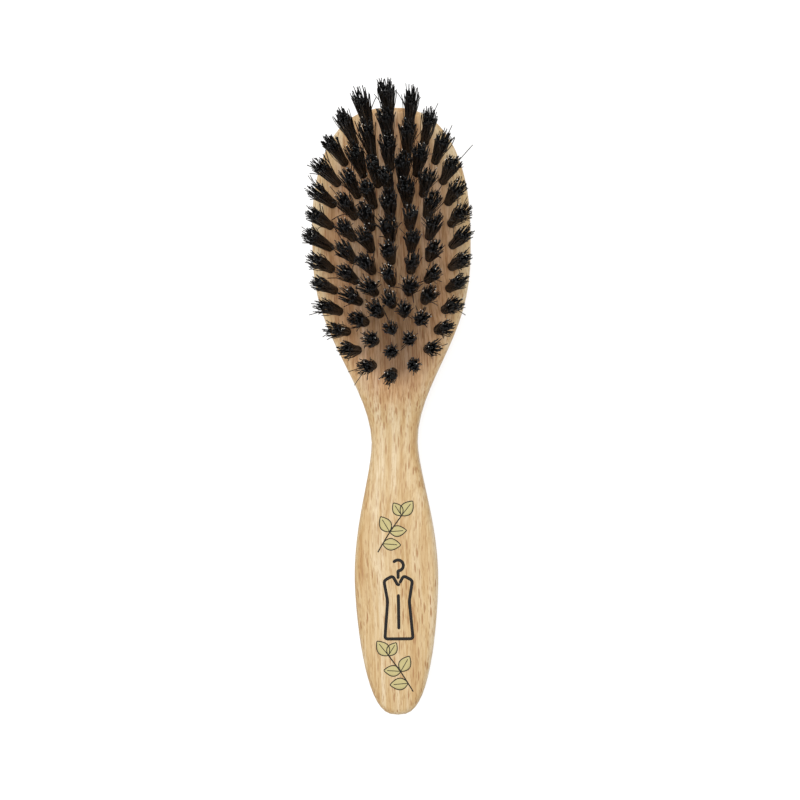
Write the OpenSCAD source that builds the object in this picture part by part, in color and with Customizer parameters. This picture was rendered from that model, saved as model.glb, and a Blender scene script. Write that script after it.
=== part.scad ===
// Handled clothes brush: a one-piece beech body and rings of bristle tufts held by wire anchors.
// Millimetres. The brush lies on its flat back: +Z is up, out of the bristle face, and +Y runs
// along the brush from the butt of the grip to the toe of the head. The origin is on the flat
// back, on the centre line, at half the length of the wood.

/* [Wood outline] */
// Length of the wood, from the butt of the grip to the toe of the head
wood_len = 225; // [215:1:240]
// Half the width of the grip where it is fullest
grip_half_w = 15.5; // [12:0.1:20]
// Half the width of the neck where it is narrowest
neck_half_w = 8.5; // [6:0.1:12]
// Half the width of the head where it is widest
head_half_w = 29.4; // [28:0.1:34]
// Distance from the butt to the fullest part of the grip
grip_at = 50; // [40:1:60]
// Distance from the butt to the narrowest part of the neck
neck_at = 101; // [90:1:110]
// Distance from the butt to the widest part of the head
head_at = 180; // [170:1:190]

/* [Wood section] */
// Thickness of the wood at the head
head_thick = 17; // [15:0.5:20]
// Thickness of the wood at the neck
neck_thick = 14.5; // [12:0.5:17]
// Thickness of the wood at the grip
grip_thick = 15.5; // [12:0.5:18]
// How much higher the bristle face is on the centre line than beside its rounded edge
face_crown = 0.7; // [0:0.1:1.5]
// Radius of the rounded edge around the bristle face
face_round = 2.8; // [1:0.1:4]
// How far the rounded edge of the back reaches in from the side
back_round_in = 5; // [3:0.1:6]
// How far the rounded edge of the back reaches up the side
back_round_up = 4.5; // [3:0.1:6]

/* [Tufts] */
// Distance from the butt to the first tuft
heel_at = 127; // [122:0.5:132]
// Distance from the last tuft to the toe
toe_margin = 5; // [5:0.1:8]
// Distance from the butt to the row of tufts with no lengthwise lean
upright_at = 145; // [130:1:170]
// Lengthwise lean of a tuft on the centre line, in degrees for each millimetre from the upright row
long_fan = 0.21; // [0:0.01:0.25]
// Sideways lean of a tuft, in degrees for each millimetre from the centre line
side_fan = 0.44; // [0:0.01:0.5]
// Diameter of a tuft hole
hole_d = 3.4; // [2.8:0.1:3.6]
// Depth of a tuft hole below the bristle face
hole_depth = 10; // [8:0.5:12]
// Height of the trimmed bristle tips above the bristle face of the head
bristle_h = 25; // [15:0.5:30]
// Diameter of a tuft at its trimmed tips
tip_d = 6; // [4.5:0.1:7]
// Length of tuft above the wood that stays as tight as its hole
collar_h = 2; // [0:0.5:6]

/* [Wire anchors] */
// Length of an anchor across its hole
anchor_len = 4.2; // [3.8:0.1:4.8]
// Height of an anchor along its hole
anchor_h = 2; // [1.5:0.1:3]
// Thickness of the anchor wire
anchor_t = 0.35; // [0.2:0.05:0.5]

/* [Detail] */
// Number of steps around each rounded edge
edge_steps = 6; // [3:1:8]
// Number of outline points in each of the four spans of one side
span_steps = 16; // [8:1:20]

/* [Hidden] */
$fn = 48;
// Each oval ring of tufts: [number of tufts, how far its heel end lies inside the first tuft,
// how far its toe end lies inside the last tuft, half width]. The tufts stand 8 mm apart.
outer_ring = [28, 0, 0, 22.8];
second_ring = [22, 7.4, 8.6, 14.2];
third_ring = [16, 15.4, 17.3, 7.45];
centre_line = [6, 25, 27.9, 0];
// Exponents that shape the outline: how fast each span leaves its fullest part, and how bluntly
// it ends.
butt_taper = 1.6;
butt_blunt = 2.8;
toe_taper = 2.1;
toe_blunt = 2.6;
grip_ease = [2, 1.7];
flare_ease = [1.9, 3.65];
// Thickness of wood changes over these distances from the butt.
grip_thick_to = 60;
head_thick_from = 126;
// Rings between the rounded edge and the middle of the bristle face, as shares of the way out.
crown_shares = [0.8, 0.5];
// Share of its distance from mid-length that an outline point loses on its way to the middle.
crown_pull = 0.1;
// The loft starts this far below the rest plane and is trimmed flat.
back_sink = 0.25;
// Angular step along a ring when its length is measured.
arc_step = 2;
// Tools that cut are longer than their cut by this much.
over = 4;
// Folded end of a tuft at the bottom of its hole.
fold_bevel = 0.8;
// Gap between the bottom of the hole and the anchor.
anchor_gap = 1.5;
hole_r = hole_d / 2;
trim_z = head_thick + bristle_h;

// ---- Outline of the wood ----

// Value between a and b at share t.
function mix(a, b, t) = a + (b - a) * t;

// Step from 0 to 1 that starts and ends level; powers holds its two exponents.
function ease(t, powers) = 1 - pow(1 - pow(t, powers[0]), powers[1]);

// Even step from 0 to 1 as x goes from a to b.
function smooth(x, a, b) = (1 - cos(180 * min(max((x - a) / (b - a), 0), 1))) / 2;

// Fullness of a rounded end at share t of the way from its widest part to its tip.
function end_fullness(t, taper, blunt) = pow(max(1 - pow(t, taper), 0), 1 / blunt);

// Half the width of the wood at distance s from the butt.
function half_width(s) =
  s < grip_at ? grip_half_w * end_fullness(1 - s / grip_at, butt_taper, butt_blunt)
  : s < neck_at ? mix(grip_half_w, neck_half_w, ease((s - grip_at) / (neck_at - grip_at), grip_ease))
  : s < head_at ? mix(neck_half_w, head_half_w, ease((s - neck_at) / (head_at - neck_at), flare_ease))
  : head_half_w * end_fullness((s - head_at) / (wood_len - head_at), toe_taper, toe_blunt);

// Thickness of the wood on the centre line at distance s from the butt.
function thickness(s) =
  neck_thick
  + (grip_thick - neck_thick) * (1 - smooth(s, grip_thick_to, neck_at))
  + (head_thick - neck_thick) * smooth(s, neck_at, head_thick_from);

// Height of the bristle face at the point [x, s], away from its rounded edge.
function face_z(x, s) = thickness(s) - face_crown * pow(x / max(half_width(s), neck_half_w), 2);

// Distances from the butt at which the outline has a point, from the butt to the toe.
outline_s = concat(
  [for (i = [0:span_steps]) grip_at * (1 - pow(sin(90 * (1 - i / span_steps)), 2 / butt_taper))],
  [for (i = [1:span_steps]) mix(grip_at, neck_at, i / span_steps)],
  [for (i = [1:span_steps]) mix(neck_at, head_at, i / span_steps)],
  [for (i = [1:span_steps]) mix(head_at, wood_len, pow(sin(90 * i / span_steps), 2 / toe_taper))]
);

last = len(outline_s) - 1;

// Closed outline as [x, s] points: up the right side to the toe, then down the left side.
outline = concat(
  [for (i = [0:last]) [half_width(outline_s[i]), outline_s[i]]],
  [for (i = [last - 1:-1:1]) [-half_width(outline_s[i]), outline_s[i]]]
);

ring_len = len(outline);

// Unit vector that points into the wood from outline point i.
function inward(i) =
  let (along = outline[(i + 1) % ring_len] - outline[(i + ring_len - 1) % ring_len])
  [-along.y, along.x] / norm(along);

// ---- Loft of the wood ----

// Ring of 3-D points at the given inset from the outline, all at one height.
function back_ring(inset, z) =
  [for (i = [0:ring_len - 1]) let (p = outline[i] + inset * inward(i)) [p.x, p.y, z]];

// Ring at the given inset whose height follows the bristle face, lowered by drop.
function face_ring(inset, drop) =
  [for (i = [0:ring_len - 1])
    let (p = outline[i] + inset * inward(i)) [p.x, p.y, face_z(p.x, p.y) - drop]];

// Ring that lies at the given share of the way out from the middle of the bristle face.
function crown_ring(share) =
  [for (i = [0:ring_len - 1])
    let (
      edge = outline[i] + face_round * inward(i),
      s = mix(edge.y, wood_len / 2, crown_pull * (1 - share)),
      x = edge.x * share
    ) [x, s, face_z(x, s)]];

loft_rings = concat(
  [for (k = [0:edge_steps])
    let (a = 90 * k / edge_steps)
    back_ring(back_round_in * (1 - sin(a)), back_round_up * (1 - cos(a)) - back_sink)],
  [for (k = [0:edge_steps])
    let (a = 90 * k / edge_steps)
    face_ring(face_round * (1 - cos(a)), face_round * (1 - sin(a)))],
  [for (share = crown_shares) crown_ring(share)]
);

ring_count = len(loft_rings);

// Point i of ring k, as an index into the list of all loft points.
function loft_index(k, i) = k * ring_len + i % ring_len;

// Triangles between ring k and the ring above it.
function wall_faces(k) =
  [for (i = [0:ring_len - 1], half = [0, 1])
    half == 0
      ? [loft_index(k, i), loft_index(k + 1, i), loft_index(k, i + 1)]
      : [loft_index(k, i + 1), loft_index(k + 1, i), loft_index(k + 1, i + 1)]];

// Triangles across ring k that join its right side to its left side.
function lid_faces(k, up) =
  [for (i = [0:last - 1], half = [0, 1])
    let (
      right = loft_index(k, i),
      next_right = loft_index(k, i + 1),
      left = loft_index(k, ring_len - i),
      next_left = loft_index(k, ring_len - i - 1),
      face = half == 0 ? [right, left, next_right] : [left, next_left, next_right]
    )
    if (face[0] != face[1] && face[1] != face[2]) up ? face : [face[2], face[1], face[0]]];

module wood_loft() {
  translate([0, -wood_len / 2, 0])
    polyhedron(
      points = [for (ring = loft_rings) each ring],
      faces = concat(
        [for (k = [0:ring_count - 2]) each wall_faces(k)],
        lid_faces(0, false),
        lid_faces(ring_count - 1, true)
      )
    );
}

// ---- Places of the tufts ----

// Distance from the butt to share t of the way along a ring, from its heel to its toe.
function ring_s(ring, t) = mix(heel_at + ring[1], wood_len - toe_margin - ring[2], t);

// Point [x, s] of a ring at angle a, measured from its heel towards its right side.
function ring_point(ring, a) = [ring[3] * sin(a), ring_s(ring, (1 - cos(a)) / 2)];

// Table of [length along the ring, angle], for spacing the tufts evenly.
function ring_lengths(ring) =
  [for (
    a = 0, run = 0;
    a <= 360;
    run = run + norm(ring_point(ring, a + arc_step) - ring_point(ring, a)), a = a + arc_step
  ) [run, a]];

// Places of all tufts of a closed ring, from the heel round the right side.
function ring_places(ring) =
  let (
    table = ring_lengths(ring),
    whole = table[len(table) - 1][0]
  )
  [for (i = [0:ring[0] - 1]) ring_point(ring, lookup(whole * i / ring[0], table))];

outer_places = ring_places(outer_ring);
second_places = ring_places(second_ring);
third_places = ring_places(third_ring);
centre_places =
  [for (i = [0:centre_line[0] - 1]) [0, ring_s(centre_line, i / (centre_line[0] - 1))]];

// Tufts of a ring at its heel and its toe, on its right side and on its left side.
function ends(places) = [places[0], places[len(places) / 2]];
function right(places) = [for (i = [1:len(places) / 2 - 1]) places[i]];
function left(places) = [for (i = [len(places) / 2 + 1:len(places) - 1]) places[i]];

// Lengthwise lean of a tuft, which fades towards the sides of the head, where tufts lean sideways.
function long_lean(place) = long_fan * (place.y - upright_at) * cos(90 * place.x / head_half_w);

// Puts its children at a tuft's place on the bristle face, leaning with the tuft.
module at_tuft(place) {
  translate([place.x, place.y - wood_len / 2, face_z(place.x, place.y)])
    rotate([-long_lean(place), side_fan * place.x, 0])
      children();
}

// ---- One tuft, its anchor and its hole, along their own axis, with the face at height 0 ----

module anchor_shape() {
  translate([-anchor_len / 2, -anchor_t / 2, anchor_gap - hole_depth])
    cube([anchor_len, anchor_t, anchor_h]);
}

module hole_shape() {
  translate([0, 0, -hole_depth])
    cylinder(r = hole_r, h = hole_depth + over);
}

// Radius of a tuft at height h above the collar, where its bristles spread evenly.
function flare_r(h) = mix(hole_r, tip_d / 2, (h - collar_h) / (bristle_h - collar_h));

// Folded end, tight shank and flared bristles.
module tuft_shape() {
  rotate_extrude()
    polygon([
      [0, -hole_depth],
      [hole_r - fold_bevel, -hole_depth],
      [hole_r, fold_bevel - hole_depth],
      [hole_r, collar_h],
      [flare_r(bristle_h + over), bristle_h + over],
      [0, bristle_h + over]
    ]);
}

// ---- Groups of identical pieces ----

// Tufts at the given places, trimmed to one level.
module tufts(places) {
  difference() {
    for (place = places)
      at_tuft(place)
        difference() {
          tuft_shape();
          anchor_shape();
        }
    translate([-wood_len / 2, -wood_len / 2, trim_z])
      cube([wood_len, wood_len * 1.5, bristle_h]);
  }
}

module anchors(places) {
  for (place = places)
    at_tuft(place)
      anchor_shape();
}

// ---- Nodes ----

module body() {
  color("BurlyWood")
    difference() {
      wood_loft();
      translate([-wood_len / 2, -wood_len, -head_thick])
        cube([wood_len, wood_len * 2, head_thick]);
      for (place = concat(outer_places, second_places, third_places, centre_places))
        at_tuft(place) {
          hole_shape();
          anchor_shape();
        }
    }
}

module tufts_outer_ends() { color("Black") tufts(ends(outer_places)); }
module tufts_outer_right() { color("Black") tufts(right(outer_places)); }
module tufts_outer_left() { color("Black") tufts(left(outer_places)); }
module tufts_second_ends() { color("Black") tufts(ends(second_places)); }
module tufts_second_right() { color("Black") tufts(right(second_places)); }
module tufts_second_left() { color("Black") tufts(left(second_places)); }
module tufts_third_ends() { color("Black") tufts(ends(third_places)); }
module tufts_third_right() { color("Black") tufts(right(third_places)); }
module tufts_third_left() { color("Black") tufts(left(third_places)); }
module tufts_centre() { color("Black") tufts(centre_places); }

module anchors_outer_ends() { color("Silver") anchors(ends(outer_places)); }
module anchors_outer_right() { color("Silver") anchors(right(outer_places)); }
module anchors_outer_left() { color("Silver") anchors(left(outer_places)); }
module anchors_second_ends() { color("Silver") anchors(ends(second_places)); }
module anchors_second_right() { color("Silver") anchors(right(second_places)); }
module anchors_second_left() { color("Silver") anchors(left(second_places)); }
module anchors_third_ends() { color("Silver") anchors(ends(third_places)); }
module anchors_third_right() { color("Silver") anchors(right(third_places)); }
module anchors_third_left() { color("Silver") anchors(left(third_places)); }
module anchors_centre() { color("Silver") anchors(centre_places); }

body();
tufts_outer_ends();
tufts_outer_right();
tufts_outer_left();
tufts_second_ends();
tufts_second_right();
tufts_second_left();
tufts_third_ends();
tufts_third_right();
tufts_third_left();
tufts_centre();
anchors_outer_ends();
anchors_outer_right();
anchors_outer_left();
anchors_second_ends();
anchors_second_right();
anchors_second_left();
anchors_third_ends();
anchors_third_right();
anchors_third_left();
anchors_centre();
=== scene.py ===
"""Looks of the clothes brush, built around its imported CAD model.

The wood is a smooth copy of the CAD body with a beech material. Every CAD tuft is replaced by
bristles folded round its wire anchor. The sprigs and the coat printed on the grip are thin
films of ink that follow the wood. Lengths are in millimetres until a mesh is made.
"""

import math

import bmesh
import bpy
import numpy as np
from mathutils import Matrix, Vector
from mathutils.bvhtree import BVHTree


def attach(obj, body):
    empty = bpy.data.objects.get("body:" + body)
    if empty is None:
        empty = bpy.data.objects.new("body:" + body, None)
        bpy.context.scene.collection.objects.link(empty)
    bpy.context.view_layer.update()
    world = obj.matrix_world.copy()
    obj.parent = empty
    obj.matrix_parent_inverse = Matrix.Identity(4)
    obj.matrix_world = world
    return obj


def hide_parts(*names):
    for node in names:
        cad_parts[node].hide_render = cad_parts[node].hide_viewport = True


MM = 0.001
SEED = 1207

# Camera and light
CAMERA_AT = Vector((22.0, 4.0, 560.0)) * MM
CAMERA_AIM = Vector((2.4, 4.2, 14.0)) * MM
CAMERA_ROLL = math.radians(0.83)
CAMERA_LENS = 66.4
CAMERA_SENSOR = 36.0
KEY_AT = Vector((-110.0, 230.0, 850.0)) * MM
KEY_SIZE = 0.9  # metres across
KEY_POWER = 9.5  # watts
SKY_STRENGTH = 1.0
FLOOR_HALF = 2.0  # metres
FLOOR_GLOW = 0.72
FLOOR_GAP = 0.2

# Wood. A colour ramp is a row of (position, colour) stops.
BEECH_BANDS = (
    (0.30, (0.335, 0.203, 0.080)),
    (0.48, (0.412, 0.295, 0.150)),
    (0.68, (0.485, 0.396, 0.262)),
)
FIBRE_TINT = ((0.34, (0.78, 0.68, 0.54)), (0.60, (1.0, 1.0, 1.0)))
# Painted shade on the grain: the fibre is darker where the wood lies among the tufts.
SHADED_FIELD_FIBRE_TINT = ((0.36, (0.66, 0.60, 0.56)), (0.52, (1.0, 1.0, 1.0)))
RING_TINT = ((0.25, (0.80, 0.72, 0.62)), (0.75, (1.0, 1.0, 1.0)))
FLECK_BROWN = (0.245, 0.125, 0.045, 1.0)
PORE_BROWN = (0.235, 0.125, 0.055, 1.0)
GRAIN_SWAY = 9.0
RING_PITCH = 2.4
PITH_AT = (9.0, 0.0, -46.0)
# Painted shade and warm bounce light: the wood between the tufts is made deeper and warmer.
TUFT_FIELD_AT = (0.0, 58.0, 17.0)
TUFT_FIELD_HALF = (24.5, 54.0, 14.0)
FIELD_SHADE_TINT = (1.22, 0.985, 0.92, 1.0)
# Painted shade: a darker patch on the wood between the last tufts at the heel.
HEEL_SHADE_AT = (2.5, 20.0, 17.0)
HEEL_SHADE_HALF = (9.0, 12.0, 14.0)
HEEL_SHADE_TINT = (0.77, 0.77, 0.80, 1.0)
SMOOTH_ANGLE = math.radians(32)
WELD = 1e-6  # metres
CROWN_FLATNESS = 0.978  # least upward part of a unit normal on the crown
EDGE_FLATNESS = 0.5  # least upward part of a unit normal on the rounded edge round the crown
CROWN_REACH = 4.0

# Bristle colours from the wood to the tip, paler and bluer in the shaft against its shade and the
# wood's warm light and darkest at the lit tips, which is painted light, and tints from the darkest
# bristle to the palest
BRISTLE_BLACKS = (
    (0.00, (0.0190, 0.0200, 0.0220)),
    (0.30, (0.0230, 0.0280, 0.0345)),
    (0.65, (0.0200, 0.0222, 0.0250)),
    (0.90, (0.0095, 0.0096, 0.0100)),
    (1.00, (0.0065, 0.0065, 0.0066)),
)
BRISTLE_TINTS = ((0.0, (0.35, 0.35, 0.36)), (0.6, (1.0, 1.0, 1.0)), (1.0, (2.9, 2.6, 2.4)))
STREAK_TINTS = ((0.3, (0.65, 0.65, 0.65)), (0.7, (1.35, 1.30, 1.25)))
# Paler brown on some strands near the wood: random tone, with painted highlight lines.
TONE_AND_SHEEN_BROWN = (0.095, 0.072, 0.054, 1.0)
GOLDEN_BROWN = (0.120, 0.072, 0.040, 1.0)
PALE_END_GLINT = (0.42, 0.40, 0.36, 1.0)
BRISTLE_SHEEN = (0.88, 0.96, 1.0, 1.0)

# One tuft, measured along its own axis from the bottom of its hole. A folded bristle is a little
# thicker at its root end than at its other end.
HOLE_R = 1.7
COLLAR_TOP = 11.0
ANCHOR_LOW = 1.5
ANCHOR_TOP = 3.5
ANCHOR_HALF = 0.175
FOLD_DEPTH = 1.0
BRISTLE_PITCH = 0.30
ROOT_R = 0.16
END_R = 0.150
STRAND_SIDES = 5
# Heights of the points of a leg inside its hole
HIDDEN_STEPS = (ANCHOR_LOW + 0.1, ANCHOR_TOP + 0.2, ANCHOR_TOP + 3.0, COLLAR_TOP - 0.8)
# Shares of the way from the collar to the tip at which the free part of a leg has a point
FREE_STEPS = (0.18, 0.36, 0.54, 0.72, 0.87, 1.0)
TIP_SPREAD = 3.2
LOCKS = 16
GOLDEN_ANGLE = math.pi * (3 - math.sqrt(5))

# Height of the trimmed tips above the flat back, and the most by which a tip is higher
TRIM_Z = 42.0
HIGHEST_TIP = 0.9

# How one tuft differs from the next. Pairs are the ends of a range of factors, and single
# values are standard deviations in millimetres.
TUFT_LEAN = 0.32
TUFT_SPREAD = (0.90, 1.14)
TUFT_STRETCH = (0.86, 1.16)
LOCK_REACH = (0.85, 1.25)
LOCK_SHIFT = 0.18
LOCK_HEIGHT = 0.7
LOCK_PULL = (0.15, 0.72)
LOCK_BEND = (0.95, 1.35)

# How one bristle differs from the next, in the same units
ROOT_SHIFT = 0.05
THICKNESS = (0.80, 1.15)
TIP_SHIFT = 0.26
TIP_HEIGHT = 0.8
SWING = 0.22
RIPPLE = 0.13

# Bristles that stick out of their tuft, further by so many millimetres, and share of pale cut ends,
# partly painted glints
STRAY_SHARE = 0.10
STRAY_CORE = 0.3
STRAY_TURN = 0.6
STRAY_REACH = (0.5, 1.5)
STRAY_BEND = (1.6, 3.0)
FAR_STRAY_SHARE = 0.012
FAR_STRAY_REACH = (2.0, 3.4)
GLINT_END_SHARE = 0.06

# Print on the grip
UPPER_SPRIG_AT = (-6.6, -52.0)
LOWER_SPRIG_AT = (5.8, -103.6)
COAT_AT = (0.8, -71.5)
FILL_LIFT = 0.015
LINE_LIFT = 0.035
RIM_FALL = 0.4
FILM_SINK = 0.05
FILM_STRIPS = 4
LINE_W = 0.36
STEM_W = 0.468
VEIN_W = 0.288
BOLD_W = 1.15
PATH_STEP = 0.35
BEND_STEPS = 7
ARC_STEPS = 25
ROUND_END = (0.0, 0.04, 0.15, 0.35, 0.65, 1.0)  # places of a round end's points, in half widths
NARROWEST_END = 0.01
LEAF_STEPS = 21
VEIN_STEPS = 17
LEAF_EDGE = 0.02


# ---------------------------------------------------------------- materials


def add_node(tree, kind, inputs=None, **settings):
    """Adds one shader node. An input is a constant, or the output socket that feeds it."""
    made = tree.nodes.new(kind)
    for key, value in settings.items():
        setattr(made, key, value)
    for key, value in (inputs or {}).items():
        if isinstance(value, bpy.types.NodeSocket):
            tree.links.new(value, made.inputs[key])
        else:
            made.inputs[key].default_value = value
    return made


def mix_colour(tree, factor, first, second, blend="MIX"):
    """Output socket of two colours mixed."""
    factor_at, first_at, second_at, result_at = 0, 6, 7, 2
    inputs = {factor_at: factor, first_at: first, second_at: second}
    made = add_node(tree, "ShaderNodeMix", inputs, data_type="RGBA", blend_type=blend)
    return made.outputs[result_at]


def remap(tree, value, low, high, to_low=0.0, to_high=1.0):
    """Output socket of a value taken from low..high to to_low..to_high, and held at the ends."""
    inputs = {
        "Value": value,
        "From Min": low,
        "From Max": high,
        "To Min": to_low,
        "To Max": to_high,
    }
    return add_node(tree, "ShaderNodeMapRange", inputs, interpolation_type="SMOOTHSTEP").outputs[0]


def maths(tree, operation, first, second):
    """Output socket of one sum, product or other operation on two values."""
    return add_node(tree, "ShaderNodeMath", {0: first, 1: second}, operation=operation).outputs[0]


def ramp(tree, value, stops):
    """Output socket of a colour ramp with (position, colour) stops."""
    made = add_node(tree, "ShaderNodeValToRGB", {"Fac": value})
    elements = made.color_ramp.elements
    while len(elements) < len(stops):
        elements.new(0.5)
    for element, (position, colour) in zip(elements, stops):
        element.position = position
        element.color = (*colour, 1.0)
    return made.outputs["Color"]


def stretched(tree, coords, scale):
    """Output socket of coordinates scaled along each axis."""
    return add_node(tree, "ShaderNodeMapping", {"Vector": coords, "Scale": scale}).outputs[0]


def noise(tree, coords, scale, detail=2.0, roughness=0.5, distortion=0.0):
    """Output socket of a noise value with so many waves per millimetre along each axis."""
    inputs = {
        "Vector": stretched(tree, coords, scale),
        "Scale": 1.0,
        "Detail": detail,
        "Roughness": roughness,
        "Distortion": distortion,
    }
    return add_node(tree, "ShaderNodeTexNoise", inputs).outputs["Fac"]


def flecks(tree, coords, scale, radius, share):
    """Output socket that is 1 inside scattered spindles, each in its own cell of that scale."""
    inputs = {"Vector": stretched(tree, coords, scale), "Scale": 1.0, "Randomness": 1.0}
    cells = add_node(tree, "ShaderNodeTexVoronoi", inputs)
    picked = add_node(tree, "ShaderNodeSeparateColor", {0: cells.outputs["Color"]})
    kept = remap(tree, picked.outputs[0], 1.0 - share, 1.0 - share + 0.12)
    inside = remap(tree, cells.outputs["Distance"], radius * 0.55, radius, 1.0, 0.0)
    return maths(tree, "MULTIPLY", inside, kept)


def new_material(name):
    """A material, its node tree, its shader node and its coordinates in millimetres."""
    material = bpy.data.materials.new(name)
    material.use_nodes = True
    tree = material.node_tree
    shader = tree.nodes["Principled BSDF"]
    place = add_node(tree, "ShaderNodeTexCoord")
    coords = stretched(tree, place.outputs["Object"], (1.0 / MM,) * 3)
    return material, tree, shader, coords


def finish_material(tree, shader, colour, roughness, height, relief):
    """Wires a colour, a roughness and a height of so many millimetres into the shader."""
    tree.links.new(colour, shader.inputs["Base Color"])
    tree.links.new(roughness, shader.inputs["Roughness"])
    inputs = {"Height": height, "Strength": 1.0, "Distance": relief * MM}
    bump = add_node(tree, "ShaderNodeBump", inputs)
    tree.links.new(bump.outputs[0], shader.inputs["Normal"])


def soft_spot(tree, coords, centre, half, edge=(0.80, 1.15)):
    """Output socket that is 1 inside an ellipsoid and fades to 0 round its edge."""
    centred = add_node(tree, "ShaderNodeVectorMath", {0: coords, 1: centre}, operation="SUBTRACT")
    scaled = stretched(tree, centred.outputs[0], [1.0 / h for h in half])
    away = add_node(tree, "ShaderNodeVectorMath", {0: scaled}, operation="LENGTH").outputs["Value"]
    return remap(tree, away, *edge, 1.0, 0.0)


def end_grain(tree):
    """Output socket that is 1 where the wood's face cuts straight across the fibres."""
    facing = add_node(tree, "ShaderNodeTexCoord").outputs["Normal"]
    along = add_node(tree, "ShaderNodeSeparateXYZ", {0: facing}).outputs["Y"]
    return remap(tree, maths(tree, "MULTIPLY", along, along), 0.10, 0.75)


def growth_rings(tree, coords):
    """Output socket of the growth rings, which lie round an axis below the brush."""
    centred = add_node(tree, "ShaderNodeVectorMath", {0: coords, 1: PITH_AT}, operation="SUBTRACT")
    inputs = {
        "Vector": centred.outputs[0],
        "Scale": math.pi / 10 / RING_PITCH,
        "Distortion": 1.5,
        "Detail": 2.0,
        "Detail Scale": 0.5,
    }
    made = add_node(tree, "ShaderNodeTexWave", inputs, wave_type="RINGS", rings_direction="Y")
    return made.outputs["Fac"]


def swaying(tree, straight):
    """Output socket of coordinates that drift sideways along the brush, as grain does."""
    sway = noise(tree, straight, (0.02, 0.012, 0.02), detail=1.0)
    shift = maths(tree, "MULTIPLY", maths(tree, "SUBTRACT", sway, 0.5), GRAIN_SWAY)
    offset = add_node(tree, "ShaderNodeCombineXYZ", {"X": shift, "Z": shift}).outputs[0]
    inputs = {0: straight, 1: offset}
    return add_node(tree, "ShaderNodeVectorMath", inputs, operation="ADD").outputs[0]


def fleck_share(tree, coords, across):
    """Output socket of how strong the flecks are: patchy, and faint where across is 1."""
    long_flecks = flecks(tree, coords, (1.05, 0.15, 1.05), radius=0.40, share=0.56)
    short_flecks = flecks(tree, coords, (2.1, 0.28, 2.1), radius=0.38, share=0.62)
    both = maths(tree, "MAXIMUM", long_flecks, maths(tree, "MULTIPLY", short_flecks, 0.75))
    patches = noise(tree, coords, (0.07, 0.02, 0.07), detail=1.0)
    patchy = remap(tree, patches, 0.34, 0.60, 0.55, 1.0)
    on_faces = remap(tree, across, 0.0, 1.0, 1.0, 0.12)
    return maths(tree, "MULTIPLY", both, maths(tree, "MULTIPLY", patchy, on_faces))


def painted_head_shade(tree, colour, straight, fibre):
    """Output socket of the wood's colour with painted shade: deeper and warmer between the tufts,
    with darker fibre there, and darker still at the heel.
    """
    shade_field = soft_spot(tree, straight, TUFT_FIELD_AT, TUFT_FIELD_HALF)
    shaded_fibre = ramp(tree, fibre, SHADED_FIELD_FIBRE_TINT)
    colour = mix_colour(tree, maths(tree, "MULTIPLY", shade_field, 0.7), colour, shaded_fibre, "MULTIPLY")
    colour = mix_colour(tree, shade_field, colour, FIELD_SHADE_TINT, "MULTIPLY")
    # Painted shade: a darker patch at the heel.
    heel_shade = soft_spot(tree, straight, HEEL_SHADE_AT, HEEL_SHADE_HALF, (0.35, 1.10))
    return mix_colour(tree, heel_shade, colour, HEEL_SHADE_TINT, "MULTIPLY")


def beech_material():
    """Oiled beech: soft lengthwise bands, fine fibre, short brown flecks, rings at its ends, and
    painted shade among the tufts and at the heel.
    """
    material, tree, shader, straight = new_material("beech")
    coords = swaying(tree, straight)
    across = end_grain(tree)
    bands = noise(tree, coords, (0.24, 0.011, 0.24), detail=2.5, roughness=0.55)
    fibre = noise(tree, coords, (1.7, 0.10, 1.7), detail=3.0, roughness=0.6)
    pores = noise(tree, coords, (7.0, 0.9, 7.0), detail=1.0)
    pore_share = remap(tree, pores, 0.62, 0.74, 0.0, 0.35)
    flecked = fleck_share(tree, coords, across)
    rings = ramp(tree, growth_rings(tree, straight), RING_TINT)

    colour = ramp(tree, bands, BEECH_BANDS)
    colour = mix_colour(tree, 0.9, colour, ramp(tree, fibre, FIBRE_TINT), "MULTIPLY")
    colour = mix_colour(tree, across, colour, rings, "MULTIPLY")
    colour = mix_colour(tree, flecked, colour, FLECK_BROWN)
    colour = mix_colour(tree, pore_share, colour, PORE_BROWN)
    # Painted shade between the tufts and at the heel.
    colour = painted_head_shade(tree, colour, straight, fibre)

    roughness = remap(tree, fibre, 0.3, 0.7, 0.62, 0.46)
    height = maths(tree, "SUBTRACT", fibre, maths(tree, "ADD", flecked, pore_share))
    finish_material(tree, shader, colour, roughness, height, relief=0.03)
    shader.inputs["Specular IOR Level"].default_value = 0.35
    return material


def attribute(tree, name):
    """Output socket of one of the mesh's own values."""
    return add_node(tree, "ShaderNodeAttribute", attribute_name=name).outputs["Fac"]


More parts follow.
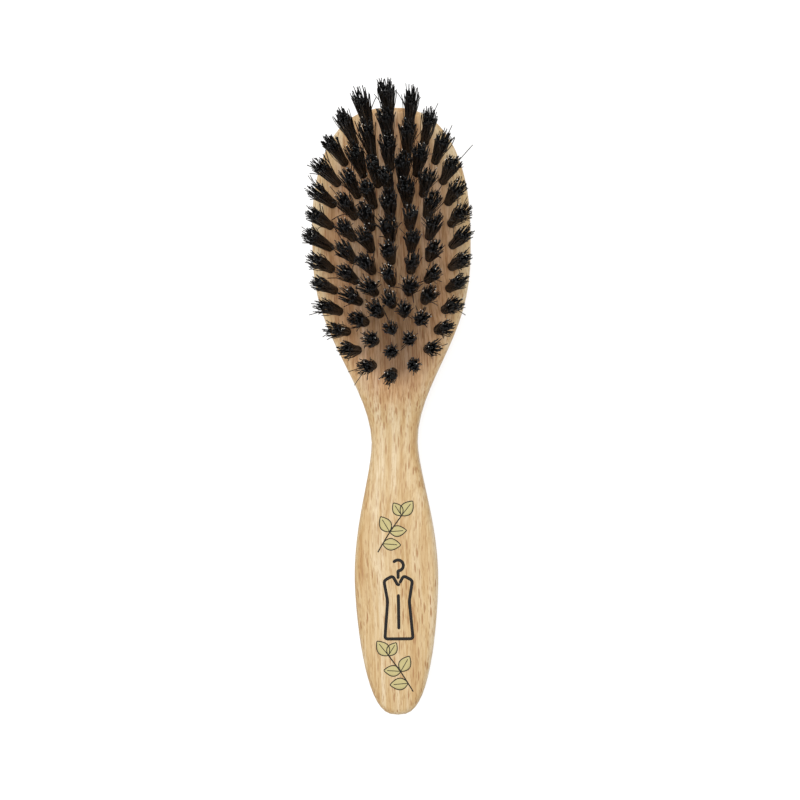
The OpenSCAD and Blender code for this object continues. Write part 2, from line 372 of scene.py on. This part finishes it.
def bristle_material():
    """Black bristle: some brown near the wood, partly painted highlight lines; paler in the shaft
    and darkest at the lit tips as painted light; pale cut ends, partly painted glints.
    """
    material, tree, shader, coords = new_material("bristle")
    rise = attribute(tree, "rise")
    tone = attribute(tree, "tone")
    low_down = remap(tree, rise, 0.05, 0.52, 1.0, 0.0)
    # Some strands near the wood are paler: random tone, with painted highlight lines.
    tone_and_sheen = maths(tree, "MULTIPLY", remap(tree, tone, 0.66, 0.92), low_down)
    golden = maths(tree, "MULTIPLY", remap(tree, tone, 0.955, 0.99), low_down)
    streaks = ramp(tree, noise(tree, coords, (2.0, 2.0, 0.6), detail=2.0), STREAK_TINTS)

    # Painted light: paler in the shaded shaft, darkest at the lit tips.
    colour = ramp(tree, rise, BRISTLE_BLACKS)
    colour = mix_colour(tree, 1.0, colour, ramp(tree, tone, BRISTLE_TINTS), "MULTIPLY")
    colour = mix_colour(tree, tone_and_sheen, colour, TONE_AND_SHEEN_BROWN)
    colour = mix_colour(tree, golden, colour, GOLDEN_BROWN)
    colour = mix_colour(tree, 1.0, colour, streaks, "MULTIPLY")
    # Pale cut ends, partly painted glints on the tips.
    colour = mix_colour(tree, attribute(tree, "cut"), colour, PALE_END_GLINT)

    roughness = remap(tree, noise(tree, coords, (5.0, 5.0, 1.2)), 0.3, 0.7, 0.34, 0.52)
    height = noise(tree, coords, (18.0, 18.0, 5.0), detail=1.0)
    finish_material(tree, shader, colour, roughness, height, relief=0.01)
    shader.inputs["Specular IOR Level"].default_value = 0.17
    shader.inputs["Specular Tint"].default_value = BRISTLE_SHEEN
    return material


def wire_material():
    """Drawn steel wire with fine lengthwise draw marks."""
    material, tree, shader, coords = new_material("anchor_wire")
    marks = noise(tree, coords, (0.6, 14.0, 14.0), detail=3.0)
    colour = ramp(tree, marks, ((0.3, (0.42, 0.41, 0.39)), (0.7, (0.62, 0.61, 0.59))))
    roughness = remap(tree, marks, 0.3, 0.7, 0.42, 0.24)
    finish_material(tree, shader, colour, roughness, marks, relief=0.01)
    shader.inputs["Metallic"].default_value = 1.0
    return material


def ink_material(name, thin, full):
    """Printed ink whose colour goes from full to thin where it took badly."""
    material, tree, shader, coords = new_material(name)
    cover = noise(tree, coords, (3.5, 0.7, 3.5), detail=3.0, roughness=0.65)
    colour = ramp(tree, cover, ((0.30, thin), (0.52, full)))
    roughness = remap(tree, cover, 0.3, 0.7, 0.72, 0.52)
    finish_material(tree, shader, colour, roughness, cover, relief=0.01)
    shader.inputs["Specular IOR Level"].default_value = 0.15
    return material


def floor_material():
    """Matt white studio paper, clear from below so that the brush's back can be seen."""
    material, tree, shader, coords = new_material("paper")
    mottle = noise(tree, coords, (0.01, 0.01, 0.01))
    colour = ramp(tree, mottle, ((0.3, (0.26, 0.26, 0.26)), (0.7, (0.28, 0.28, 0.28))))
    roughness = remap(tree, mottle, 0.3, 0.7, 0.85, 0.95)
    finish_material(tree, shader, colour, roughness, mottle, relief=0.01)
    shader.inputs["Emission Color"].default_value = (1.0, 1.0, 1.0, 1.0)
    shader.inputs["Emission Strength"].default_value = FLOOR_GLOW
    from_below = add_node(tree, "ShaderNodeNewGeometry").outputs["Backfacing"]
    clear = add_node(tree, "ShaderNodeBsdfTransparent").outputs[0]
    inputs = {0: from_below, 1: shader.outputs[0], 2: clear}
    sided = add_node(tree, "ShaderNodeMixShader", inputs)
    tree.links.new(sided.outputs[0], tree.nodes["Material Output"].inputs["Surface"])
    return material


# ------------------------------------------------------------------- meshes


def tube_faces(first, rings, sides):
    """Corners and sizes of the faces of one closed tube whose points start at number first."""
    ring = np.arange(rings - 1)[:, None] * sides
    here = np.arange(sides)[None, :]
    beside = (here + 1) % sides
    above = ring + sides
    walls = np.stack([ring + here, ring + beside, above + beside, above + here], -1)
    low_end = first + rings * sides + np.arange(sides)
    high_end = low_end + sides
    corners = np.concatenate([first + walls.reshape(-1), low_end[::-1], high_end])
    sizes = np.concatenate([np.full((rings - 1) * sides, 4), [sides, sides]])
    return corners, sizes


def loft_mesh(name, tubes, attributes=None):
    """A mesh of closed tubes, each an array of rings x points x 3 in millimetres.

    Each end is closed by a flat face with points of its own. attributes holds, by name, one
    array of values for every tube: for its points ring by ring, then for its first and last
    end's points.
    """
    points, corners, sizes = [], [], []
    count = 0
    for tube in tubes:
        rings, sides = tube.shape[:2]
        points += [tube.reshape(-1, 3), tube[0], tube[-1]]
        tube_corners, tube_sizes = tube_faces(count, rings, sides)
        corners.append(tube_corners)
        sizes.append(tube_sizes)
        count += (rings + 2) * sides
    corners = np.concatenate(corners).astype(np.int32)
    sizes = np.concatenate(sizes).astype(np.int32)
    starts = np.concatenate([[0], np.cumsum(sizes)[:-1]]).astype(np.int32)
    mesh = bpy.data.meshes.new(name)
    mesh.vertices.add(count)
    mesh.vertices.foreach_set("co", (np.concatenate(points) * MM).astype(np.float32).ravel())
    mesh.loops.add(len(corners))
    mesh.loops.foreach_set("vertex_index", corners)
    mesh.polygons.add(len(sizes))
    mesh.polygons.foreach_set("loop_start", starts)
    mesh.polygons.foreach_set("loop_total", sizes)
    mesh.polygons.foreach_set("use_smooth", sizes == 4)
    mesh.update(calc_edges=True)
    for key, values in (attributes or {}).items():
        made = mesh.attributes.new(key, "FLOAT", "POINT")
        made.data.foreach_set("value", np.concatenate(values).astype(np.float32))
    return mesh


def show(name, mesh, material, stands_for=()):
    """Puts a mesh in the scene as a piece that rides on the brush."""
    mesh.materials.clear()
    mesh.materials.append(material)
    piece = bpy.data.objects.new(name, mesh)
    bpy.context.scene.collection.objects.link(piece)
    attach(piece, "root")
    if stands_for:
        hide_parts(*stands_for)
    return piece


def welded(node):
    """A bmesh of a CAD node with its split corners joined."""
    bm = bmesh.new()
    bm.from_mesh(node.data)
    bmesh.ops.remove_doubles(bm, verts=bm.verts, dist=WELD)
    return bm


def smooth_wood(node):
    """The CAD body with rounded faces shaded smooth and real edges kept sharp."""
    bm = welded(node)
    for face in bm.faces:
        face.smooth = True
    mesh = bpy.data.meshes.new("wood")
    bm.to_mesh(mesh)
    bm.free()
    mesh.set_sharp_from_angle(angle=SMOOTH_ANGLE)
    even_crown(mesh)
    return mesh


def local_direction(place, centres, normals, areas):
    """Average direction of the faces round a place, weighted by their size and closeness."""
    away = np.linalg.norm(centres - place, axis=1)
    weight = areas * np.exp(-((away / (CROWN_REACH * MM)) ** 2))
    total = (normals * weight[:, None]).sum(axis=0)
    return total / np.linalg.norm(total)


def even_crown(mesh):
    """Shades the gently crowned face evenly, so that the long triangles between holes don't show.

    Each corner on the crown takes the average direction of the crown round it. Corners
    beside the rounded edge keep their own direction.
    """
    normals = np.array([face.normal for face in mesh.polygons])
    centres = np.array([face.center for face in mesh.polygons])
    areas = np.array([face.area for face in mesh.polygons])
    crown = normals[:, 2] > CROWN_FLATNESS
    crown_faces = centres[crown], normals[crown], areas[crown]
    rounded_edge = (normals[:, 2] > EDGE_FLATNESS) & ~crown
    beside_edge = set()
    for index in np.flatnonzero(rounded_edge):
        beside_edge.update(mesh.polygons[index].vertices)
    directions = {}
    chosen = np.zeros((len(mesh.loops), 3))
    for index in np.flatnonzero(crown):
        for loop in mesh.polygons[index].loop_indices:
            vertex = mesh.loops[loop].vertex_index
            if vertex in beside_edge:
                continue
            if vertex not in directions:
                place = np.array(mesh.vertices[vertex].co)
                directions[vertex] = local_direction(place, *crown_faces)
            chosen[loop] = directions[vertex]
    mesh.normals_split_custom_set(chosen)


# -------------------------------------------------------------------- tufts


def islands(bm):
    """The faces of each separate solid in a bmesh, in a fixed order."""
    bm.faces.ensure_lookup_table()
    seen = set()
    for start in bm.faces:
        if start.index in seen:
            continue
        seen.add(start.index)
        solid, waiting = [], [start]
        while waiting:
            face = waiting.pop()
            solid.append(face)
            for edge in face.edges:
                for other in edge.link_faces:
                    if other.index not in seen:
                        seen.add(other.index)
                        waiting.append(other)
        yield solid


def tuft_frames(node):
    """Where each tuft of a CAD node stands: (centre of its lowest face, rotation matrix).

    The columns of the matrix are sideways along the anchor, across it, and up the tuft.
    """
    bm = welded(node)
    bm.normal_update()
    frames = []
    for solid in islands(bm):
        lowest = min(v.co.z for face in solid for v in face.verts)
        flats = {}
        for face in solid:
            if face.calc_center_median().z < lowest + FOLD_DEPTH * MM:
                facing = tuple(round(c, 2) for c in face.normal)
                flats.setdefault(facing, []).append(face)
        under = max(flats.values(), key=lambda group: sum(f.calc_area() for f in group))
        area = sum(f.calc_area() for f in under)
        centre = sum((f.calc_center_median() * f.calc_area() for f in under), Vector()) / area
        up = -sum((f.normal * f.calc_area() for f in under), Vector()).normalized()
        sideways = Vector((0, 1, 0)).cross(up).normalized()
        turn = Matrix((sideways, up.cross(sideways), up)).transposed()
        frames.append((np.array(centre) / MM, np.array(turn)))
    bm.free()
    return frames


def folded_places():
    """Where each folded bristle stands across half a hole, in rows of a hexagonal packing."""
    reach = HOLE_R - ROOT_R
    row_gap = BRISTLE_PITCH * math.sqrt(3) / 2
    places = []
    for row in range(int(reach / row_gap) + 1):
        across = (row + 0.5) * row_gap
        if across >= reach:
            break
        half = math.sqrt(reach**2 - across**2)
        shift = 0.5 * (row % 2)
        for column in range(-int(half / BRISTLE_PITCH) - 1, int(half / BRISTLE_PITCH) + 2):
            along = (column + shift) * BRISTLE_PITCH
            if abs(along) <= half:
                places.append((along, across))
    return np.array(places)


class Habit:
    """How the bristles of one tuft lean, spread and gather into pointed locks."""

    def __init__(self, rng):
        self.lean = rng.normal(0, TUFT_LEAN, 2)
        self.spread = TIP_SPREAD * rng.uniform(*TUFT_SPREAD)
        self.stretch = np.array([rng.uniform(*TUFT_STRETCH), 1.0])
        step = np.arange(LOCKS)
        reach = rng.uniform(*LOCK_REACH, LOCKS)
        radius = self.spread * np.sqrt((step + 0.5) / LOCKS) * reach
        angle = step * GOLDEN_ANGLE + rng.uniform(0, 2 * math.pi)
        spots = np.stack([radius * np.cos(angle), radius * np.sin(angle)], -1)
        self.spots = spots * self.stretch + rng.normal(0, LOCK_SHIFT, spots.shape)
        self.heights = rng.normal(0, LOCK_HEIGHT, LOCKS)
        self.pulls = rng.uniform(*LOCK_PULL, LOCKS)
        self.bends = rng.uniform(*LOCK_BEND, LOCKS)


def free_leg(rng, start, habit, turn, root_z):
    """Centre line of one bristle from the collar to its tip, as points in the tuft's frame."""
    tip = start / HOLE_R * habit.spread * habit.stretch
    lock = np.argmin(np.linalg.norm(habit.spots - tip, axis=1))
    pull = (habit.spots[lock] - tip) * habit.pulls[lock]
    tip = tip + pull + habit.lean + rng.normal(0, TIP_SHIFT, 2)
    bend = habit.bends[lock]
    chance = rng.random()
    if chance < STRAY_SHARE:
        outward = tip / (np.linalg.norm(tip) + STRAY_CORE) + rng.normal(0, STRAY_TURN, 2)
        reach = FAR_STRAY_REACH if chance < FAR_STRAY_SHARE else STRAY_REACH
        tip = tip + outward * rng.uniform(*reach)
        bend = rng.uniform(*STRAY_BEND)
    height = min(rng.normal(0, TIP_HEIGHT) + habit.heights[lock], HIGHEST_TIP)
    top = (TRIM_Z + height - root_z - tip @ turn[2, :2]) / turn[2, 2]
    t = np.array(FREE_STEPS)
    swing = rng.normal(0, SWING, 2)
    ripple = rng.normal(0, RIPPLE, 2)
    flat = start + (tip - start) * (t**bend)[:, None]
    flat += swing * np.sin(math.pi * t)[:, None] + ripple * np.sin(2 * math.pi * t)[:, None]
    return np.column_stack([flat, COLLAR_TOP + (top - COLLAR_TOP) * t])


def hidden_leg(place, side):
    """Centre line of one leg inside its hole, from beside the anchor up to the collar."""
    along, across = place
    reach = HOLE_R - ROOT_R
    beside = min(across + ANCHOR_HALF, math.sqrt(max(reach**2 - along**2, 0.0)))
    beside = max(beside, ANCHOR_HALF + ROOT_R)
    outward = (beside, beside, across, across)
    return np.array([(along, side * out, up) for out, up in zip(outward, HIDDEN_STEPS)])


def strand_tube(line, radii):
    """Rings of a thin tube round a centre line."""
    tangent = np.gradient(line, axis=0)
    tangent /= np.linalg.norm(tangent, axis=1)[:, None]
    side = np.array([1.0, 0.0, 0.0]) - tangent * tangent[:, :1]
    side /= np.linalg.norm(side, axis=1)[:, None]
    other = np.cross(tangent, side)
    turn = np.arange(STRAND_SIDES) * 2 * math.pi / STRAND_SIDES
    cosines, sines = np.cos(turn)[None, :, None], np.sin(turn)[None, :, None]
    ring = cosines * side[:, None] + sines * other[:, None]
    return line[:, None] + ring * radii[:, None, None]


def tuft_tubes(rng, centre, turn, places):
    """Every folded bristle of one tuft as (tube, tone), with its fold in the middle."""
    habit = Habit(rng)
    made = []
    for place in places + rng.normal(0, ROOT_SHIFT, places.shape):
        legs = []
        for side in (1, -1):
            start = np.array([place[0], side * place[1]])
            free = free_leg(rng, start, habit, turn, centre[2])
            legs.append(np.vstack([hidden_leg(place, side), free]))
        depth = place[1] / HOLE_R
        fold = np.array([[place[0], 0.0, ANCHOR_LOW - ROOT_R - depth]])
        line = np.vstack([legs[0][::-1], fold, legs[1]])
        radii = np.linspace(ROOT_R, END_R, len(line)) * rng.uniform(*THICKNESS)
        tube = strand_tube(line, radii) @ turn.T + centre
        made.append((tube, rng.random()))
    return made


def strand_rise():
    """How far each ring of a folded bristle's tube is on its way from the collar to a tip."""
    leg = np.concatenate([np.zeros(len(HIDDEN_STEPS)), FREE_STEPS])
    return np.concatenate([leg[::-1], [0.0], leg])


def tuft_mesh(name, node, rng):
    """All bristles of one CAD tuft node as one mesh, with rise, tone and cut attributes."""
    places = folded_places()
    body_rise = np.repeat(strand_rise(), STRAND_SIDES)
    ends_rise = np.ones(2 * STRAND_SIDES)
    rise = np.concatenate([body_rise, ends_rise])
    no_cut = np.zeros(len(body_rise))
    tubes, rises, tones, cuts = [], [], [], []
    for centre, turn in tuft_frames(node):
        for tube, tone in tuft_tubes(rng, centre, turn, places):
            # A few cut ends are pale: partly the cut, partly painted glints.
            pale = np.full(STRAND_SIDES, rng.random() < GLINT_END_SHARE)
            tubes.append(tube)
            rises.append(rise)
            tones.append(np.full(len(rise), tone))
            cuts.append(np.concatenate([no_cut, pale, np.zeros(STRAND_SIDES)]))
    return loft_mesh(name, tubes, {"rise": rises, "tone": tones, "cut": cuts})


# -------------------------------------------------------------------- print


def rounded(corners, radius, closed=False):
    """A path through corners, each cut by a smooth bend that starts radius before it."""
    corners = [np.array(c, float) for c in corners]
    total = len(corners)
    path = []
    for i, corner in enumerate(corners):
        if not closed and i in (0, total - 1):
            path.append(corner)
            continue
        before = corners[i - 1] - corner
        after = corners[(i + 1) % total] - corner
        enter = corner + before / np.linalg.norm(before) * radius
        leave = corner + after / np.linalg.norm(after) * radius
        for t in np.linspace(0, 1, BEND_STEPS):
            path.append(enter * (1 - t) ** 2 + corner * 2 * t * (1 - t) + leave * t**2)
    if closed:
        path.append(path[0])
    return np.array(path)


def arc(centre, radius, start, end):
    """Points along an arc, angles in degrees."""
    angle = np.radians(np.linspace(start, end, ARC_STEPS))
    circle = np.column_stack([np.cos(angle), np.sin(angle)])
    return np.array(centre) + radius * circle


def resampled(path, width):
    """The path at even steps, closer at its round ends: (points, distance of each, length)."""
    lengths = np.linalg.norm(np.diff(path, axis=0), axis=1)
    far = np.concatenate([[0], np.cumsum(lengths)])
    total = far[-1]
    end = width / 2 * np.array(ROUND_END)
    steps = max(int(total / PATH_STEP), 2)
    inner = np.linspace(end[-1], total - end[-1], steps + 1)[1:-1]
    at = np.concatenate([end, inner, total - end[::-1]])
    return np.column_stack([np.interp(at, far, path[:, k]) for k in (0, 1)]), at, total


def film(surface, spine, half_widths, lift):
    """Rings of a film of ink that follows the wood, lifted a little and sunk at its rim."""
    tangent = np.gradient(spine, axis=0)
    tangent /= np.linalg.norm(tangent, axis=1)[:, None]
    normal = np.column_stack([-tangent[:, 1], tangent[:, 0]])
    share = np.linspace(-1, 1, FILM_STRIPS + 1)
    rings = []
    for point, sideways, half in zip(spine, normal, half_widths):
        flat = [point + sideways * half * s for s in share]
        wood = [height_of(surface, x, y) for x, y in flat]
        crown = [lift * (1.0 - RIM_FALL * s * s) for s in share]
        top = [(x, y, z + c) for (x, y), z, c in zip(flat, wood, crown)]
        low = [(x, y, z - FILM_SINK) for (x, y), z in zip(flat, wood)]
        rings.append(top + low[::-1])
    return np.array(rings)


def height_of(surface, x, y):
    """Height of the wood's face under a point, in millimetres."""
    above = Vector((x, y, 2 * TRIM_Z)) * MM
    hit = surface.ray_cast(above, Vector((0, 0, -1)))
    return hit[0].z / MM


def stroke(surface, path, width):
    """A line of ink with round ends along a path."""
    spine, at, total = resampled(path, width)
    to_end = np.minimum(np.minimum(at, total - at) / (width / 2), 1.0)
    half = width / 2 * np.sqrt(np.maximum(1 - (1 - to_end) ** 2, NARROWEST_END))
    return film(surface, spine, half, LINE_LIFT)


def leaf(base, tip, width):
    """Midrib points and half widths of one pointed leaf, and the paths of its two edges."""
    t = np.linspace(0, 1, LEAF_STEPS)
    along = tip - base
    side = np.array([-along[1], along[0]]) / np.linalg.norm(along)
    rib = base + along * t[:, None]
    fullness = np.sin(math.pi * t**0.85) ** 0.9
    half = np.maximum(width / 2 * fullness, LEAF_EDGE)
    edges = [rib + side * half[:, None], rib - side * half[:, None]]
    return rib, half, edges


def sprig(surface, root, flip):
    """A plain twig with five leaves: (fills, lines). flip is -1 for its mirror image."""

    def at(x, y):
        return np.array([root[0] + flip * x, root[1] + y])

    stem = rounded([at(0, 0), at(4.5, 7.5), at(9.0, 13.5)], 4.0)
    joints = ((1.9, 3.2), (4.5, 7.6), (9.0, 13.5))
    leaves = (
        (joints[0], (8.6, 2.6), 4.3),
        (joints[1], (1.2, 13.2), 4.4),
        (joints[1], (10.8, 8.0), 4.0),
        (joints[2], (13.2, 18.8), 4.6),
        (joints[2], (6.0, 18.2), 3.8),
    )
    fills, lines = [], [stroke(surface, stem, STEM_W)]
    for base, tip, width in leaves:
        rib, half, edges = leaf(at(*base), at(*tip), width)
        fills.append(film(surface, rib, half, FILL_LIFT))
        lines += [stroke(surface, edge, LINE_W) for edge in edges]
        lines.append(stroke(surface, rib[:VEIN_STEPS], VEIN_W))
    return fills, lines


def coat(surface, place):
    """A plain pictogram of a coat on a hanger, in a bold line round a place on the grip."""
    x, y = place
    neckline = (0.0, 7.0)
    left_half = [(-2.0, 10.8), (-5.3, 9.0), (-4.0, 1.5), (-5.2, -12.5)]
    right_half = [(-across, up) for across, up in reversed(left_half)]
    corners = [(x + across, y + up) for across, up in [neckline] + left_half + right_half]
    shape = rounded(corners, 1.1, closed=True)
    hook = np.vstack([[(x, y + 9.6), (x, y + 12.4)], arc((x, y + 14.6), 2.0, -90, 150)])
    front = np.array([(x, y + 4.0), (x, y - 9.0)])
    return [stroke(surface, path, BOLD_W) for path in (shape, hook, front)]


# -------------------------------------------------------------------- scene


def add_camera():
    """The camera: almost straight above the brush, a little to its right and rolled a little."""
    camera = bpy.data.objects.new("camera", bpy.data.cameras.new("camera"))
    camera.data.lens = CAMERA_LENS
    camera.data.sensor_width = CAMERA_SENSOR
    back = (CAMERA_AT - CAMERA_AIM).normalized()
    right = Vector((math.sin(CAMERA_ROLL), math.cos(CAMERA_ROLL), 0)).cross(back).normalized()
    turn = Matrix((right, back.cross(right), back)).transposed()
    camera.matrix_world = Matrix.Translation(CAMERA_AT) @ turn.to_4x4()
    bpy.context.scene.collection.objects.link(camera)
    bpy.context.scene.camera = camera


def add_light():
    """One large soft lamp above the toe and an even white sky."""
    lamp = bpy.data.lights.new("key", "AREA")
    lamp.size = KEY_SIZE
    lamp.energy = KEY_POWER
    key = bpy.data.objects.new("key", lamp)
    key.location = KEY_AT
    key.rotation_euler = (CAMERA_AIM - KEY_AT).to_track_quat("-Z", "Y").to_euler()
    bpy.context.scene.collection.objects.link(key)
    world = bpy.data.worlds.new("studio")
    world.use_nodes = True
    sky = world.node_tree.nodes["Background"]
    sky.inputs["Color"].default_value = (1.0, 1.0, 1.0, 1.0)
    sky.inputs["Strength"].default_value = SKY_STRENGTH
    bpy.context.scene.world = world


def add_floor():
    """A plain white floor under the brush."""
    bm = bmesh.new()
    bmesh.ops.create_grid(bm, x_segments=8, y_segments=8, size=FLOOR_HALF)
    mesh = bpy.data.meshes.new("floor")
    bm.to_mesh(mesh)
    bm.free()
    mesh.materials.append(floor_material())
    floor = bpy.data.objects.new("floor", mesh)
    floor.location.z = -FLOOR_GAP * MM
    bpy.context.scene.collection.objects.link(floor)


def add_wood(nodes):
    """The smooth wood in place of the CAD body. Returns its surface for the print to follow."""
    wood = show("wood", smooth_wood(nodes["body"]), beech_material(), ["body"])
    return BVHTree.FromObject(wood, bpy.context.evaluated_depsgraph_get())


def add_tufts(nodes):
    """Folded bristles in place of every CAD tuft, and a better metal on the wire anchors."""
    rng = np.random.default_rng(SEED)
    bristle = bristle_material()
    wire = wire_material()
    for name in sorted(nodes):
        if name.startswith("tufts_"):
            piece = name.replace("tufts", "bristles")
            show(piece, tuft_mesh(piece, nodes[name], rng), bristle, [name])
        elif name.startswith("anchors_"):
            nodes[name].data.materials.clear()
            nodes[name].data.materials.append(wire)


def add_print(surface):
    """The sprigs and the coat printed on the grip."""
    upper_fills, upper_lines = sprig(surface, UPPER_SPRIG_AT, 1)
    lower_fills, lower_lines = sprig(surface, LOWER_SPRIG_AT, -1)
    fills = loft_mesh("sprig_fills", upper_fills + lower_fills)
    lines = loft_mesh("sprig_lines", upper_lines + lower_lines)
    bold = loft_mesh("coat_lines", coat(surface, COAT_AT))
    olive = ink_material("ink_olive", (0.31, 0.265, 0.125), (0.35, 0.30, 0.14))
    fine = ink_material("ink_fine", (0.050, 0.036, 0.022), (0.010, 0.008, 0.006))
    black = ink_material("ink_bold", (0.020, 0.016, 0.012), (0.005, 0.005, 0.005))
    show("sprig_fills", fills, olive)
    show("sprig_lines", lines, fine)
    show("coat_lines", bold, black)


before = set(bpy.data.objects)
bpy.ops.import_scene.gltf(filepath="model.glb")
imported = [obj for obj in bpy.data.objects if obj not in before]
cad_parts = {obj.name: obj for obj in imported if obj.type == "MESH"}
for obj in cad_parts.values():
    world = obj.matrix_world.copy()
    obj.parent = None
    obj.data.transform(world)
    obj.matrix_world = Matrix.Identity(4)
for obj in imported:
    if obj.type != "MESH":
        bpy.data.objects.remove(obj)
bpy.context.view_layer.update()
bpy.context.scene.view_settings.view_transform = "Standard"
add_camera()
add_light()
add_floor()
wood_surface = add_wood(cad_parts)
add_tufts(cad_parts)
add_print(wood_surface)
